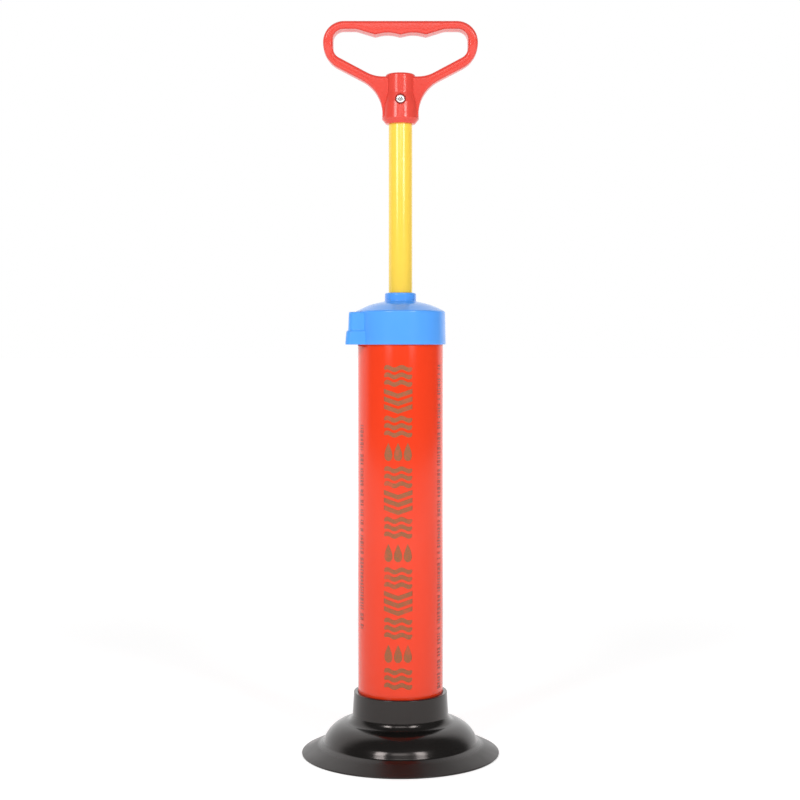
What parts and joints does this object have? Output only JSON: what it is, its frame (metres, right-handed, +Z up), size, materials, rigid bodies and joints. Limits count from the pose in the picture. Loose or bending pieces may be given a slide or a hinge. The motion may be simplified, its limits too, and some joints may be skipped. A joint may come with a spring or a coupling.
{
  "type": "toilet plunger",
  "caption": "Hand vacuum pump plunger: rubber suction cup on a barrel, with a D-handle on a sliding rod that works a piston, and a cap with a hooded outlet.",
  "frame": {"origin": "on the pump's axis, in the plane that the rubber cup's rim rests on", "axes": "+Z up along the rod and barrel, X along the handle's grip, -Y the front with the handle screw, hooded outlet on the -X side"},
  "size_m": [0.142, 0.142, 0.5246],
  "materials": {
    "cup_rubber": "moulded, slightly glossy black",
    "barrel_plastic": "glossy red extruded pipe with a printed band",
    "cap_plastic": "glossy blue moulding",
    "sleeve_plastic": "natural nylon",
    "seal_rubber": "soft black",
    "rod_plastic": "glossy yellow extruded tube",
    "plug_plastic": "grey moulding",
    "plated_steel": "zinc plated",
    "disc_plastic": "white moulding",
    "handle_plastic": "glossy red moulding",
    "screw_steel": "bright nickel plated"
  },
  "bodies": {
    "barrel": {"rubber_cup": "cup_rubber", "barrel_tube": "barrel_plastic", "cap": "cap_plastic", "rod_guide_sleeve": "sleeve_plastic", "rod_wiper_ring": "seal_rubber"},
    "seal": {"piston_cup_seal": "seal_rubber"},
    "rod": {"rod_tube": "rod_plastic", "rod_end_plug": "plug_plastic", "plug_nut": "plated_steel", "piston_upper_disc": "disc_plastic", "piston_lower_disc": "disc_plastic", "piston_washer": "plated_steel", "piston_lock_washer": "plated_steel", "piston_bolt": "plated_steel", "handle": "handle_plastic", "handle_screw": "screw_steel"}
  },
  "joints": [
    {"name": "pump_stroke", "type": "slide", "parent": "barrel", "child": "seal", "axis": [0, 0, 1], "range_m": [-0.12, 0.125]},
    {"name": "handle_swivel", "type": "hinge", "parent": "seal", "child": "rod", "pos_m": [0, 0, 0.452], "axis": [0, 0, 1], "continuous": true}
  ]
}
